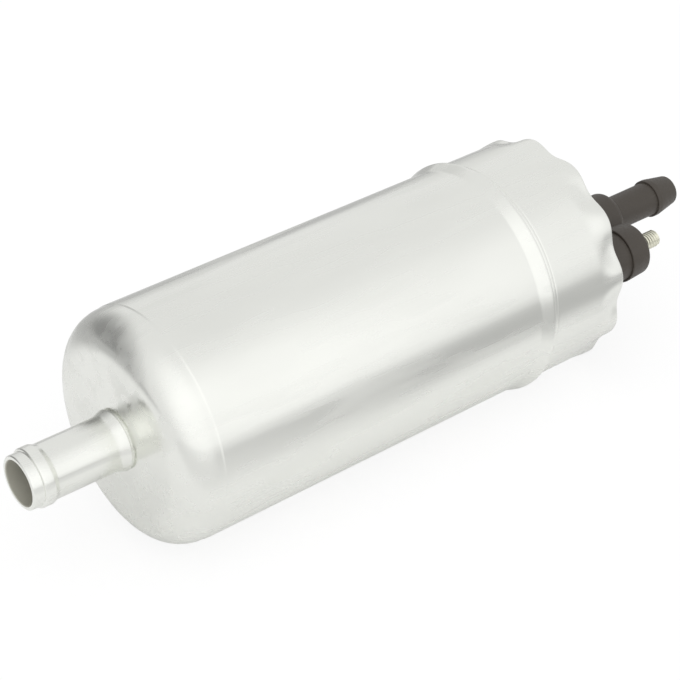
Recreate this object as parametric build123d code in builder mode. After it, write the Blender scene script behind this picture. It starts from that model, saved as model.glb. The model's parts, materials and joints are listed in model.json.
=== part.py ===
"""In-line electric fuel pump with a roller-cell pumping stage, in millimetres.

X runs along the can's axis: the inlet spigot is at -X, the outlet nozzle and the terminals at +X.
+Z is up. The origin is on the axis, at the middle of the straight wall that a clamp band grips.
The pieces stack from the front wall to the rear: strainer, pump stage, motor, brush gear, end cap.
"""

from build123d import *
import math
import os

os.makedirs("parts", exist_ok=True)

# Clearances between neighbours
slide_fit = 0.2  # radial, a piece that is pushed into the can
press_gap = 0.02  # radial, a pin, bush or magnet that stays where it is put
run_gap = 0.05  # radial or axial, surfaces that turn or slide on each other

# Can: one deep-drawn aluminium shell with its own inlet spigot
can_radius = 26.0
clamp_seat_length = 84.6
shoulder_radius = 8.4
front_wall = 2.0
motor_wall = 1.7
rear_wall = 1.3
bead_ramp = 2.7
bead_crest = 0.7
bead_drop = 0.5
bead_height = 1.05
rear_length = 13.9

# Crimped rim: punched dimples that hold the end cap down
crimp_count = 12
crimp_turn = 4.3
crimp_length = 6.5
crimp_depth = 0.9
crimp_rise = 0.4
crimp_pinch = 1.1

# Inlet spigot for the suction hose
spigot_length = 23.0
spigot_radius = 6.0
spigot_bore = 4.9
spigot_tip_radius = 5.85
spigot_tip_length = 2.3
hose_bead_radius = 6.45
hose_bead_land = 2.2
hose_bead_run = 2.2
spigot_flare_length = 3.0
spigot_flare_radius = 6.8
spigot_root_step = 0.5

# Strainer cup in the spigot
strainer_length = 11.0
strainer_wall = 0.5
strainer_rim = 1.2
strainer_slots = 8

# Four feet or windows lie midway between the Y and Z axes
quarter_angles = [45, 135, 225, 315]

# Pump stage
inlet_plate_thickness = 11.0
inlet_foot_height = 6.7
inlet_foot_width = 3.4
inlet_foot_span = 36.0
cell_length = 10.0
cell_offset = 1.4
outlet_plate_thickness = 7.0
ring_gap = 1.6
ring_wall = 7.3
bolt_inset = 3.3
relief_inset = 4.5
port_width = 3.0
port_span = 110.0
roller_count = 5
roller_radius = 3.0
roller_inset = 0.1
screw_radius = 1.5
screw_clearance = 0.1
screw_head_radius = 2.3
screw_head_height = 2.6
screw_grip = 8.0
screw_key_radius = 1.4
pin_radius = 1.25
pin_reach = 3.0

# Springs: straight steps in each turn of wire
turn_steps = 12

# Relief valve in the inlet plate
relief_port = 1.3
relief_seat_depth = 1.5
relief_chamber = 2.4
relief_ball = 2.0
relief_plug_length = 2.1
relief_plug_hole = 0.9
relief_wire = 0.3
relief_turns = 4

# Shaft, its bushes and the drive to the rotor
shaft_radius = 3.0
shaft_flat = 2.3
bush_radius = 5.0
front_bush_length = 5.0
rear_bush_length = 6.0
coupling_radius = 5.2
coupling_lug_width = 2.4
coupling_lug_reach = 6.2
coupling_lug_depth = 3.0
coupling_end_gap = 0.5
washer_radius = 5.5
washer_thickness = 0.4

# Motor
flux_tube_length = 50.0
flux_tube_wall = 2.5
magnet_length = 38.0
magnet_thickness = 5.1
magnet_span = 130.0
magnet_lead_in = 8.0
clip_thickness = 0.6
air_gap = 0.85
core_length = 32.0
core_lead_in = 12.0
pole_count = 8
slot_width = 4.4
slot_root_radius = 7.1
slot_mouth = 1.6
tooth_tip = 1.0
winding_gap = 0.2
winding_head = 6.0
winding_inner = 5.0
winding_inset = 2.2
insulator_inset = 1.6
insulator_thickness = 0.8

# Commutator and brush gear
commutator_radius = 7.2
commutator_length = 7.0
commutator_hub_radius = 4.4
commutator_hub_length = 8.6
commutator_gap = 0.5
riser_height = 1.2
riser_length = 1.0
brush_width = 5.8
brush_spring_length = 4.3
brush_wall = 1.2
brush_box_inset = 1.5
brush_wire = 0.35
brush_turns = 4
brush_spring_radius = 2.1
holder_thickness = 3.0
holder_boss_wall = 1.4
holder_window_inset = 3.5
holder_window_web = 3.2
holder_window_span = 44.0
choke_length = 11.0
choke_inset = 3.5
choke_gap = 0.2
lead_radius = 0.4

# End cap
skirt_length = 8.0
skirt_wall = 4.1
cavity_wall = 5.9
cap_rim_wall = 3.95
cavity_depth = 6.0
cap_wall = 5.5
cap_rim_height = 1.9
cap_seat_run = 3.3
cap_seat_drop = 1.05
seal_groove_place = 6.0
seal_groove_width = 2.4
seal_groove_depth = 1.7
seal_squeeze = 0.02
web_thickness = 2.6
web_height = 8.0

# Outlet nozzle with its check valve
tower_radius = 6.1
tower_length = 26.1
tower_round = 1.8
nozzle_radius = 4.05
nozzle_length = 12.4
barb_radius = 4.52
barb_land = 1.3
barb_length = 7.2
barb_tip_radius = 3.5
barb_round = 0.5
nozzle_bore = 2.2
valve_chamber = 4.4
valve_chamber_depth = 27.0
valve_seat_place = 2.0
valve_seat_length = 3.0
valve_seat_bore = 2.4
poppet_radius = 3.5
poppet_thickness = 2.0
poppet_stem = 1.3
valve_spring_length = 8.6
valve_guide_length = 3.0
valve_guide_hole = 1.0
valve_wire = 0.35
valve_turns = 4

# Terminals
post_inset = 0.75
post_neck_radius = 5.85
post_neck_length = 14.9
post_head_radius = 6.45
post_head_length = 5.9
post_head_taper = 0.3
post_head_edge = 0.6
stud_radius = 2.0
stud_reach = 7.2
stud_shank_radius = 2.6
stud_head_radius = 4.0
stud_head_thickness = 1.5
stud_tag_radius = 1.2
stud_tag_length = 2.3

# Stations along the axis, from the middle of the clamp seat
seat_front = -clamp_seat_length / 2
seat_rear = clamp_seat_length / 2
face_x = seat_front - shoulder_radius
mouth_x = face_x - spigot_length
front_inside = face_x + front_wall
crimp_x = seat_rear + bead_ramp + bead_crest + bead_drop + rear_length
rim_x = crimp_x + crimp_length
motor_bore = can_radius - motor_wall
rear_bore = can_radius - rear_wall
stack_radius = motor_bore - slide_fit

inlet_plate_front = front_inside + inlet_foot_height
ring_front = inlet_plate_front + inlet_plate_thickness
ring_rear = ring_front + cell_length
tube_front = ring_rear + outlet_plate_thickness
tube_rear = tube_front + flux_tube_length
step_x = tube_rear + skirt_length
holder_rear = step_x + seal_groove_place
holder_front = holder_rear - holder_thickness
cavity_end = holder_rear + cavity_depth
cap_face = cavity_end + cap_wall

core_front = tube_front + core_lead_in
core_rear = core_front + core_length
commutator_rear = holder_front - washer_thickness - (commutator_hub_length - commutator_length) / 2
commutator_front = commutator_rear - commutator_length
shaft_front = ring_front - front_bush_length
shaft_rear = holder_front + rear_bush_length
flux_bore = stack_radius - flux_tube_wall
magnet_radius = flux_bore - press_gap
magnet_bore = magnet_radius - magnet_thickness
core_radius = magnet_bore - air_gap
insulator_radius = core_radius - insulator_inset
winding_outer = core_radius - winding_inset

pump_ring_radius = stack_radius - ring_gap
cell_radius = pump_ring_radius - ring_wall
bolt_circle_radius = pump_ring_radius - bolt_inset
relief_radius = pump_ring_radius - relief_inset
rotor_radius = cell_radius - cell_offset - slide_fit
roller_orbit_radius = rotor_radius - roller_radius - roller_inset
port_radius = cell_radius - cell_offset + slide_fit

cap_radius = rear_bore - 3 * run_gap
skirt_bore = stack_radius - skirt_wall
cavity_bore = stack_radius - cavity_wall
cap_rim_bore = cap_radius - cap_rim_wall
post_offset = cap_rim_bore - post_head_radius - post_inset
holder_window_outer = skirt_bore - holder_window_inset
holder_window_inner = bush_radius + holder_boss_wall + holder_window_web
brush_box_end = skirt_bore - brush_box_inset
choke_height = cavity_bore - cavity_depth / 2 - choke_inset


def write(piece, name):
    """Labels a finished piece and writes its STEP file."""
    piece.label = name
    export_step(piece, f"parts/{name}.step")


def coil_spring(mean_radius, wire, turns, start, end, axis_dir):
    """A compression spring that fills the space between two points on its axis."""
    length = (end - start).length - 2 * wire
    seat = Plane(origin=start + axis_dir * wire, z_dir=axis_dir)
    steps = turns * turn_steps
    points = []
    for step in range(steps + 1):
        turn = 2 * math.pi * step / turn_steps
        local = (mean_radius * math.cos(turn), mean_radius * math.sin(turn), length * step / steps)
        points.append(seat.from_local_coords(local))
    with BuildPart() as coil:
        with BuildLine() as path:
            Polyline(*points)
        with BuildSketch(Plane(origin=points[0], z_dir=points[1] - points[0])):
            RegularPolygon(wire, 4)
        sweep(transition=Transition.RIGHT)
    return coil.part


def sector(outer, inner, middle, span):
    """A ring sector about the axis, drawn in the plane of the section."""
    with BuildSketch() as sketch:
        with BuildLine():
            outside = CenterArc((0, 0), outer, middle - span / 2, span)
            inside = CenterArc((0, 0), inner, middle - span / 2, span)
            Line(outside @ 0, inside @ 0)
            Line(outside @ 1, inside @ 1)
        make_face()
    return sketch.sketch


def crimp_outline(radius, depth, rise):
    """Points round the rim: valleys sink by depth and the lobes between them stand out by rise."""
    steps = crimp_count * 4
    points = []
    for step in range(steps):
        angle = math.radians(360 * step / steps + crimp_turn)
        valley = (0.5 + 0.5 * math.cos(crimp_count * 2 * math.pi * step / steps)) ** crimp_pinch
        reach = radius + rise - (depth + rise) * valley
        points.append((reach * math.cos(angle), reach * math.sin(angle)))
    return points


def crimped_length(radius):
    """The solid rim from the plain wall to its end, dimpled more and more towards the end."""
    with BuildPart() as rim:
        with BuildSketch(Plane.YZ.offset(crimp_x)):
            Circle(radius)
        with BuildSketch(Plane.YZ.offset(rim_x)):
            with BuildLine():
                Spline(*crimp_outline(radius, crimp_depth, crimp_rise), periodic=True)
            make_face()
        loft(ruled=True)
    return rim.part


# Housing can
tip_end = mouth_x + spigot_tip_length
bead_end = tip_end + hose_bead_land + hose_bead_run
flare_start = face_x - spigot_root_step - spigot_flare_length
inner_corner = shoulder_radius - motor_wall
corner_cut = inner_corner * (1 - math.sqrt(0.5))
crest_start = seat_rear + bead_ramp
crest_end = crest_start + bead_crest
with BuildPart() as housing_can:
    with BuildSketch(Plane.XY):
        with BuildLine():
            Polyline(
                (mouth_x, spigot_bore),
                (mouth_x, spigot_tip_radius - 0.2),
                (mouth_x + 0.2, spigot_tip_radius),
                (tip_end, spigot_tip_radius),
                (tip_end + 0.15, hose_bead_radius),
                (tip_end + hose_bead_land, hose_bead_radius),
                (bead_end, spigot_radius),
                (flare_start, spigot_radius),
            )
            TangentArc(
                (flare_start, spigot_radius),
                (flare_start + spigot_flare_length, spigot_flare_radius),
                tangent=(1, 0),
            )
            Polyline(
                (flare_start + spigot_flare_length, spigot_flare_radius),
                (face_x, spigot_flare_radius),
                (face_x, can_radius - shoulder_radius),
            )
            RadiusArc(
                (face_x, can_radius - shoulder_radius),
                (seat_front, can_radius),
                shoulder_radius,
            )
            Polyline(
                (seat_front, can_radius),
                (seat_rear, can_radius),
                (crest_start, can_radius + bead_height),
                (crest_end, can_radius + bead_height),
                (crest_end + bead_drop, can_radius),
                (crimp_x, can_radius),
                (crimp_x, rear_bore),
                (step_x, rear_bore),
                (step_x, motor_bore),
                (front_inside + inner_corner, motor_bore),
                (front_inside + corner_cut, motor_bore - corner_cut),
                (front_inside, motor_bore - inner_corner),
                (front_inside, spigot_bore),
                (mouth_x, spigot_bore),
            )
        make_face()
    revolve(axis=Axis.X)
    add(crimped_length(can_radius))
    add(crimped_length(rear_bore), mode=Mode.SUBTRACT)
write(housing_can.part, "housing_can")

# Strainer: a slotted cup pressed into the inner end of the spigot
strainer_radius = spigot_bore - press_gap
with BuildPart() as inlet_strainer:
    with BuildSketch(Plane.YZ.offset(front_inside - strainer_length)):
        Circle(strainer_radius - strainer_wall)
    extrude(amount=strainer_length)
    with BuildSketch(Plane.YZ.offset(front_inside - strainer_rim)):
        Circle(strainer_radius)
    extrude(amount=strainer_rim)
    with BuildSketch(Plane.YZ.offset(front_inside - strainer_length + strainer_wall)):
        Circle(strainer_radius - 2 * strainer_wall)
    extrude(amount=strainer_length, mode=Mode.SUBTRACT)
    slot_length = strainer_length - strainer_rim - 4 * strainer_wall
    for step in range(strainer_slots // 2):
        with BuildSketch(Plane.XY.rotated((360 * step / strainer_slots, 0, 0))):
            with Locations((front_inside - strainer_rim - strainer_wall - slot_length / 2, 0)):
                Rectangle(slot_length, 2 * strainer_wall)
        extrude(amount=spigot_bore, both=True, mode=Mode.SUBTRACT)
write(inlet_strainer.part, "inlet_strainer")


# Pump stage: where its screws, pins and ports lie
screw_angles = [90, 210, 330]
pin_angles = [30, 150]
relief_angle = 270


def on_circle(radius, angles):
    """Points on a circle about the axis, by angle from +Y towards +Z."""
    turns = [math.radians(angle) for angle in angles]
    return [(radius * math.cos(turn), radius * math.sin(turn)) for turn in turns]


def port_arc(middle):
    """The centre line of a kidney port, as an arc about the axis."""
    return CenterArc((0, 0), port_radius, middle - port_span / 2, port_span)


# Inlet plate: stands on four feet against the front wall and carries the front bush
relief_seat_x = ring_front - relief_seat_depth
with BuildPart() as pump_inlet_plate:
    with BuildSketch(Plane.YZ.offset(inlet_plate_front)):
        Circle(stack_radius)
    extrude(amount=inlet_plate_thickness)
    foot_radius = motor_bore - inner_corner
    with BuildSketch(Plane.YZ.offset(front_inside)):
        for middle in quarter_angles:
            add(sector(foot_radius, foot_radius - inlet_foot_width, middle, inlet_foot_span))
    extrude(amount=inlet_foot_height)
    with BuildSketch(Plane.YZ.offset(inlet_plate_front)):
        SlotArc(port_arc(0), port_width)
    extrude(amount=inlet_plate_thickness, mode=Mode.SUBTRACT)
    with BuildSketch(Plane.YZ.offset(shaft_front)):
        Circle(bush_radius + press_gap)
    extrude(amount=front_bush_length, mode=Mode.SUBTRACT)
    with BuildSketch(Plane.YZ.offset(ring_front - screw_grip)):
        with Locations(*on_circle(bolt_circle_radius, screw_angles)):
            Circle(screw_radius + press_gap)
    extrude(amount=screw_grip, mode=Mode.SUBTRACT)
    with BuildSketch(Plane.YZ.offset(ring_front - pin_reach)):
        with Locations(*on_circle(bolt_circle_radius, pin_angles)):
            Circle(pin_radius + press_gap)
    extrude(amount=pin_reach, mode=Mode.SUBTRACT)
    with BuildSketch(Plane.YZ.offset(front_inside)):
        with Locations(*on_circle(relief_radius, [relief_angle])):
            Circle(relief_chamber)
    extrude(amount=relief_seat_x - front_inside, mode=Mode.SUBTRACT)
    with BuildSketch(Plane.YZ.offset(relief_seat_x)):
        with Locations(*on_circle(relief_radius, [relief_angle])):
            Circle(relief_port)
    extrude(amount=relief_seat_depth, mode=Mode.SUBTRACT)
write(pump_inlet_plate.part, "pump_inlet_plate")

# Pump ring: its bore stands off the axis, so the cells between the rollers grow and shrink
with BuildPart() as pump_ring:
    with BuildSketch(Plane.YZ.offset(ring_front)):
        Circle(pump_ring_radius)
        with Locations((0, cell_offset)):
            Circle(cell_radius, mode=Mode.SUBTRACT)
        with Locations(*on_circle(bolt_circle_radius, screw_angles)):
            Circle(screw_radius + screw_clearance, mode=Mode.SUBTRACT)
        with Locations(*on_circle(bolt_circle_radius, pin_angles)):
            Circle(pin_radius + press_gap, mode=Mode.SUBTRACT)
        with Locations(*on_circle(relief_radius, [relief_angle])):
            Circle(relief_port, mode=Mode.SUBTRACT)
    extrude(amount=cell_length)
write(pump_ring.part, "pump_ring")

# Outlet plate: closes the cells and leads the drive coupling through to the rotor
with BuildPart() as pump_outlet_plate:
    with BuildSketch(Plane.YZ.offset(ring_rear)):
        Circle(stack_radius)
        SlotArc(port_arc(180), port_width, mode=Mode.SUBTRACT)
        Circle(coupling_radius + slide_fit, mode=Mode.SUBTRACT)
        with Locations(*on_circle(bolt_circle_radius, screw_angles)):
            Circle(screw_radius + screw_clearance, mode=Mode.SUBTRACT)
        with Locations(*on_circle(relief_radius, [relief_angle])):
            Circle(relief_port, mode=Mode.SUBTRACT)
    extrude(amount=outlet_plate_thickness)
    with BuildSketch(Plane.YZ.offset(ring_rear)):
        with Locations(*on_circle(bolt_circle_radius, pin_angles)):
            Circle(pin_radius + press_gap)
    extrude(amount=pin_reach, mode=Mode.SUBTRACT)
write(pump_outlet_plate.part, "pump_outlet_plate")

# Screws: they clamp both plates on the ring from the motor side
with BuildPart() as pump_screws:
    with BuildSketch(Plane.YZ.offset(ring_front - screw_grip)):
        with Locations(*on_circle(bolt_circle_radius, screw_angles)):
            Circle(screw_radius)
    extrude(amount=screw_grip + cell_length + outlet_plate_thickness)
    with BuildSketch(Plane.YZ.offset(tube_front)):
        with Locations(*on_circle(bolt_circle_radius, screw_angles)):
            Circle(screw_head_radius)
    extrude(amount=screw_head_height)
    with BuildSketch(Plane.YZ.offset(tube_front + screw_head_height / 2)):
        with Locations(*on_circle(bolt_circle_radius, screw_angles)):
            RegularPolygon(screw_key_radius, 6)
    extrude(amount=screw_head_height / 2, mode=Mode.SUBTRACT)
write(pump_screws.part, "pump_screws")

# Dowels: they hold the ring's offset against the plates
with BuildPart() as locating_pins:
    with BuildSketch(Plane.YZ.offset(ring_front - pin_reach)):
        with Locations(*on_circle(bolt_circle_radius, pin_angles)):
            Circle(pin_radius)
    extrude(amount=2 * pin_reach + cell_length)
write(locating_pins.part, "locating_pins")

# Relief valve: a ball held on its seat by a spring, and the plug that the spring stands on
relief_centre = on_circle(relief_radius, [relief_angle])[0]
ball_x = relief_seat_x - math.sqrt(relief_ball**2 - relief_port**2) - run_gap
plug_rear = inlet_plate_front + relief_plug_length
with BuildPart() as relief_valve_ball:
    with Locations((ball_x, *relief_centre)):
        Sphere(relief_ball)
write(relief_valve_ball.part, "relief_valve_ball")

with BuildPart() as relief_valve_plug:
    with BuildSketch(Plane.YZ.offset(inlet_plate_front)):
        with Locations(relief_centre):
            Circle(relief_chamber - press_gap)
            Circle(relief_plug_hole, mode=Mode.SUBTRACT)
    extrude(amount=relief_plug_length)
write(relief_valve_plug.part, "relief_valve_plug")

relief_valve_spring = coil_spring(
    relief_chamber - relief_wire - 3 * run_gap,
    relief_wire,
    relief_turns,
    Vector(plug_rear, *relief_centre),
    Vector(ball_x - relief_ball / 2, *relief_centre),
    Vector(1, 0, 0),
)
write(relief_valve_spring, "relief_valve_spring")

# Rotor: five open slots that carry the rollers round
with BuildPart() as pump_rotor:
    with BuildSketch(Plane.YZ.offset(ring_front + run_gap)):
        Circle(rotor_radius)
        Circle(shaft_radius + slide_fit, mode=Mode.SUBTRACT)
        with PolarLocations(roller_orbit_radius, roller_count):
            Circle(roller_radius + run_gap, mode=Mode.SUBTRACT)
        with PolarLocations(rotor_radius, roller_count):
            Rectangle(
                2 * (rotor_radius - roller_orbit_radius),
                2 * (roller_radius + run_gap),
                mode=Mode.SUBTRACT,
            )
    extrude(amount=cell_length - 2 * run_gap)
    with BuildSketch(Plane.YZ.offset(ring_rear - run_gap - coupling_lug_depth)):
        Rectangle(2 * coupling_lug_reach, coupling_lug_width + 2 * press_gap)
    extrude(amount=coupling_lug_depth, mode=Mode.SUBTRACT)
write(pump_rotor.part, "pump_rotor")

with BuildPart() as pump_rollers:
    with BuildSketch(Plane.YZ.offset(ring_front + run_gap)):
        with PolarLocations(roller_orbit_radius, roller_count):
            Circle(roller_radius)
    extrude(amount=cell_length - 2 * run_gap)
write(pump_rollers.part, "pump_rollers")

# Drive coupling: flats take the shaft's turning, two lugs pass it to the rotor
coupling_rear = tube_front - coupling_end_gap
with BuildPart() as drive_coupling:
    with BuildSketch(Plane.YZ.offset(ring_rear)):
        Circle(coupling_radius)
    extrude(amount=coupling_rear - ring_rear)
    with BuildSketch(Plane.YZ.offset(ring_rear - coupling_lug_depth + run_gap)):
        Rectangle(2 * (coupling_lug_reach - slide_fit), coupling_lug_width)
        with BuildSketch(mode=Mode.INTERSECT):
            Circle(coupling_radius)
    extrude(amount=coupling_lug_depth - run_gap)
    with BuildSketch(Plane.YZ.offset(ring_rear - coupling_lug_depth)):
        Circle(shaft_radius + press_gap)
        with BuildSketch(mode=Mode.INTERSECT):
            Rectangle(2 * (shaft_flat + press_gap), 4 * shaft_radius)
    extrude(amount=outlet_plate_thickness + coupling_lug_depth, mode=Mode.SUBTRACT)
write(drive_coupling.part, "drive_coupling")

# Bushes: sintered rings at both ends of the shaft
for name, start, length in (
    ("front_bush", shaft_front, front_bush_length),
    ("rear_bush", holder_front, rear_bush_length),
):
    with BuildPart() as bush:
        with BuildSketch(Plane.YZ.offset(start)):
            Circle(bush_radius)
            Circle(shaft_radius + run_gap, mode=Mode.SUBTRACT)
        extrude(amount=length)
    write(bush.part, name)

# Shaft with the two flats for the coupling
with BuildPart() as armature_shaft:
    with BuildSketch(Plane.YZ.offset(shaft_front + run_gap)):
        Circle(shaft_radius)
    extrude(amount=shaft_rear - shaft_front - 2 * run_gap)
    chamfer(armature_shaft.edges().filter_by(GeomType.CIRCLE), slide_fit)
    with BuildSketch(Plane.YZ.offset(ring_rear - coupling_lug_depth)):
        Circle(shaft_radius)
        Rectangle(2 * shaft_flat, 4 * shaft_radius, mode=Mode.SUBTRACT)
    extrude(amount=coupling_lug_depth + outlet_plate_thickness, mode=Mode.SUBTRACT)
write(armature_shaft.part, "armature_shaft")

# Armature core: a stack of slotted laminations
slot_depth = core_radius - tooth_tip - slot_root_radius
slot_middle = slot_root_radius + slot_depth / 2
with BuildPart() as armature_core:
    with BuildSketch(Plane.YZ.offset(core_front)):
        Circle(core_radius)
        Circle(shaft_radius, mode=Mode.SUBTRACT)
        with PolarLocations(slot_middle, pole_count):
            Rectangle(slot_depth, slot_width, mode=Mode.SUBTRACT)
        with PolarLocations(core_radius, pole_count):
            Rectangle(2 * tooth_tip + slot_width / 2, slot_mouth, mode=Mode.SUBTRACT)
    extrude(amount=core_length)
write(armature_core.part, "armature_core")

# Insulating discs on both faces of the core
with BuildPart() as armature_insulators:
    for start in (core_front - insulator_thickness, core_rear):
        with BuildSketch(Plane.YZ.offset(start)):
            Circle(insulator_radius)
            Circle(shaft_radius, mode=Mode.SUBTRACT)
            with PolarLocations(slot_middle, pole_count):
                Rectangle(slot_depth, slot_width, mode=Mode.SUBTRACT)
        extrude(amount=insulator_thickness)
write(armature_insulators.part, "armature_insulators")

# Windings: coil sides in the slots and a rounded head of crossing wires at each end
head_front = core_front - insulator_thickness - winding_head
head_rear = core_rear + insulator_thickness
with BuildPart() as armature_windings:
    with BuildSketch(Plane.YZ.offset(head_front + winding_head / 2)):
        with PolarLocations(slot_middle - winding_gap, pole_count):
            Rectangle(slot_depth - 4 * winding_gap, slot_width - 2 * winding_gap)
    extrude(amount=core_length + 2 * insulator_thickness + winding_head)
    for start in (head_front, head_rear):
        with BuildSketch(Plane.XY):
            with Locations((start + winding_head / 2, (winding_inner + winding_outer) / 2)):
                Rectangle(winding_head, winding_outer - winding_inner)
        revolve(axis=Axis.X)
write(armature_windings.part, "armature_windings")

# Commutator: copper bars with risers, round a moulded hub
hub_front = holder_front - washer_thickness - commutator_hub_length
with BuildPart() as commutator_hub:
    with BuildSketch(Plane.YZ.offset(hub_front)):
        Circle(commutator_hub_radius)
        Circle(shaft_radius, mode=Mode.SUBTRACT)
    extrude(amount=commutator_hub_length)
write(commutator_hub.part, "commutator_hub")

with BuildPart() as commutator_bars:
    with BuildSketch(Plane.YZ.offset(commutator_front)):
        Circle(commutator_radius)
        Circle(commutator_hub_radius, mode=Mode.SUBTRACT)
    extrude(amount=commutator_length)
    with BuildSketch(Plane.YZ.offset(commutator_front)):
        Circle(commutator_radius + riser_height)
        Circle(commutator_hub_radius, mode=Mode.SUBTRACT)
    extrude(amount=riser_length)
    with BuildSketch(Plane.YZ.offset(commutator_front)):
        with PolarLocations(commutator_radius, pole_count, start_angle=180 / pole_count):
            Rectangle(commutator_radius, commutator_gap)
    extrude(amount=commutator_length, mode=Mode.SUBTRACT)
write(commutator_bars.part, "commutator_bars")

with BuildPart() as thrust_washer:
    with BuildSketch(Plane.YZ.offset(holder_front - washer_thickness)):
        Circle(washer_radius)
        Circle(shaft_radius + run_gap, mode=Mode.SUBTRACT)
    extrude(amount=washer_thickness)
write(thrust_washer.part, "thrust_washer")

# Flux tube: the steel ring that closes the magnets' field
with BuildPart() as flux_tube:
    with BuildSketch(Plane.YZ.offset(tube_front)):
        Circle(stack_radius)
        Circle(flux_bore, mode=Mode.SUBTRACT)
    extrude(amount=flux_tube_length)
write(flux_tube.part, "flux_tube")


# Magnets above and below the armature, spread apart by two sheet clips
magnet_front = tube_front + magnet_lead_in
for name, middle in (("magnet_upper", 90), ("magnet_lower", 270)):
    with BuildPart() as magnet:
        with BuildSketch(Plane.YZ.offset(magnet_front)):
            add(sector(magnet_radius, magnet_bore, middle, magnet_span))
        extrude(amount=magnet_length)
    write(magnet.part, name)

clip_span = 180 - magnet_span - math.degrees(2 * press_gap / magnet_radius)
clip_leg = math.degrees(clip_thickness / magnet_radius)
with BuildPart() as magnet_clips:
    for middle in (0, 180):
        with BuildSketch(Plane.YZ.offset(magnet_front)):
            add(sector(magnet_radius, magnet_radius - clip_thickness, middle, clip_span))
            for side in (-1, 1):
                leg = middle + side * (clip_span - clip_leg) / 2
                add(sector(magnet_radius, magnet_bore + 2 * clip_thickness, leg, clip_leg))
        extrude(amount=magnet_length)
write(magnet_clips.part, "magnet_clips")

# Brush holder: a moulded plate with the rear bush's boss and a closed box for each brush
brush_x = (commutator_front + riser_length + commutator_rear) / 2
brush_face = commutator_radius + run_gap
box_inner = brush_width / 2 + run_gap
box_outer = box_inner + brush_wall
box_start = commutator_radius + riser_height + press_gap
boss_radius = bush_radius + holder_boss_wall
with BuildPart() as brush_holder:
    with BuildSketch(Plane.YZ.offset(holder_front)):
        Circle(skirt_bore - run_gap)
        for middle in quarter_angles:
            add(
                sector(holder_window_outer, holder_window_inner, middle, holder_window_span),
                mode=Mode.SUBTRACT,
            )
    extrude(amount=holder_thickness)
    with BuildSketch(Plane.YZ.offset(holder_front)):
        Circle(boss_radius)
    extrude(amount=rear_bush_length + holder_boss_wall)
    with BuildSketch(Plane.YZ.offset(holder_front)):
        Circle(bush_radius)
    extrude(amount=rear_bush_length, mode=Mode.SUBTRACT)
    for side in (-1, 1):
        with BuildSketch(Plane.XZ.offset(-side * box_start)):
            with Locations(((brush_x - box_outer + holder_front) / 2, 0)):
                Rectangle(holder_front - brush_x + box_outer, 2 * box_outer)
        extrude(amount=-side * (brush_box_end - box_start))
        with BuildSketch(Plane.XZ.offset(-side * box_start)):
            with Locations((brush_x, 0)):
                Rectangle(2 * box_inner, 2 * box_inner)
        extrude(amount=-side * (brush_box_end - brush_wall - box_start), mode=Mode.SUBTRACT)
write(brush_holder.part, "brush_holder")

# Brushes and their springs, one on each side of the commutator
brush_end = brush_box_end - brush_wall - run_gap - brush_spring_length
for side, name in ((-1, "left"), (1, "right")):
    with BuildPart() as brush:
        with BuildSketch(Plane.XZ):
            with Locations((brush_x, 0)):
                Rectangle(brush_width, brush_width)
        extrude(amount=-side * brush_end)
        with BuildSketch(Plane.YZ.offset(brush_x - brush_width)):
            Circle(brush_face)
        extrude(amount=2 * brush_width, mode=Mode.SUBTRACT)
    write(brush.part, f"brush_{name}")
    spring = coil_spring(
        brush_spring_radius,
        brush_wire,
        brush_turns,
        Vector(brush_x, side * (brush_box_end - brush_wall), 0),
        Vector(brush_x, side * (brush_end + run_gap), 0),
        Vector(0, -side, 0),
    )
    write(spring, f"brush_spring_{name}")

# Chokes: two small wound coils, which lie across the space behind the holder
choke_radius = cavity_depth / 2 - choke_gap
choke_x = holder_rear + cavity_depth / 2
with BuildPart() as suppression_chokes:
    for side in (-1, 1):
        with Locations((choke_x, 0, side * choke_height)):
            Cylinder(choke_radius, choke_length, rotation=(90, 0, 0))
write(suppression_chokes.part, "suppression_chokes")

# Terminal studs: each has a head inside the cap and a tag that takes its choke's lead
post_face = cap_face + post_neck_length + post_head_length
for side, name in ((-1, "left"), (1, "right")):
    with BuildPart() as stud:
        for start, end, radius in (
            (post_face, post_face + stud_reach, stud_radius),
            (cavity_end, post_face, stud_shank_radius),
            (cavity_end - stud_head_thickness, cavity_end, stud_head_radius),
            (cavity_end - stud_head_thickness - stud_tag_length, cavity_end, stud_tag_radius),
        ):
            with BuildSketch(Plane.YZ.offset(start)):
                with Locations((side * post_offset, 0)):
                    Circle(radius)
            extrude(amount=end - start)
        tip = stud.edges().filter_by(GeomType.CIRCLE).sort_by(Axis.X)[-1]
        chamfer(tip, stud_radius / 4)
    write(stud.part, f"terminal_stud_{name}")

# Leads: enamelled wires from each stud's tag to the end of its choke
with BuildPart() as choke_leads:
    for side in (-1, 1):
        tag = Vector(choke_x, side * post_offset, -side * (stud_tag_radius + lead_radius / 2))
        corner = Vector(choke_x, side * (post_offset - 1), -side * choke_height)
        end = Vector(choke_x, side * (choke_length / 2 + press_gap), -side * choke_height)
        with BuildLine() as path:
            FilletPolyline(tag, corner, end, radius=2)
        with BuildSketch(Plane(origin=path.line @ 0, z_dir=path.line % 0)):
            RegularPolygon(lead_radius, 6)
        sweep()
write(choke_leads.part, "choke_leads")

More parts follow.
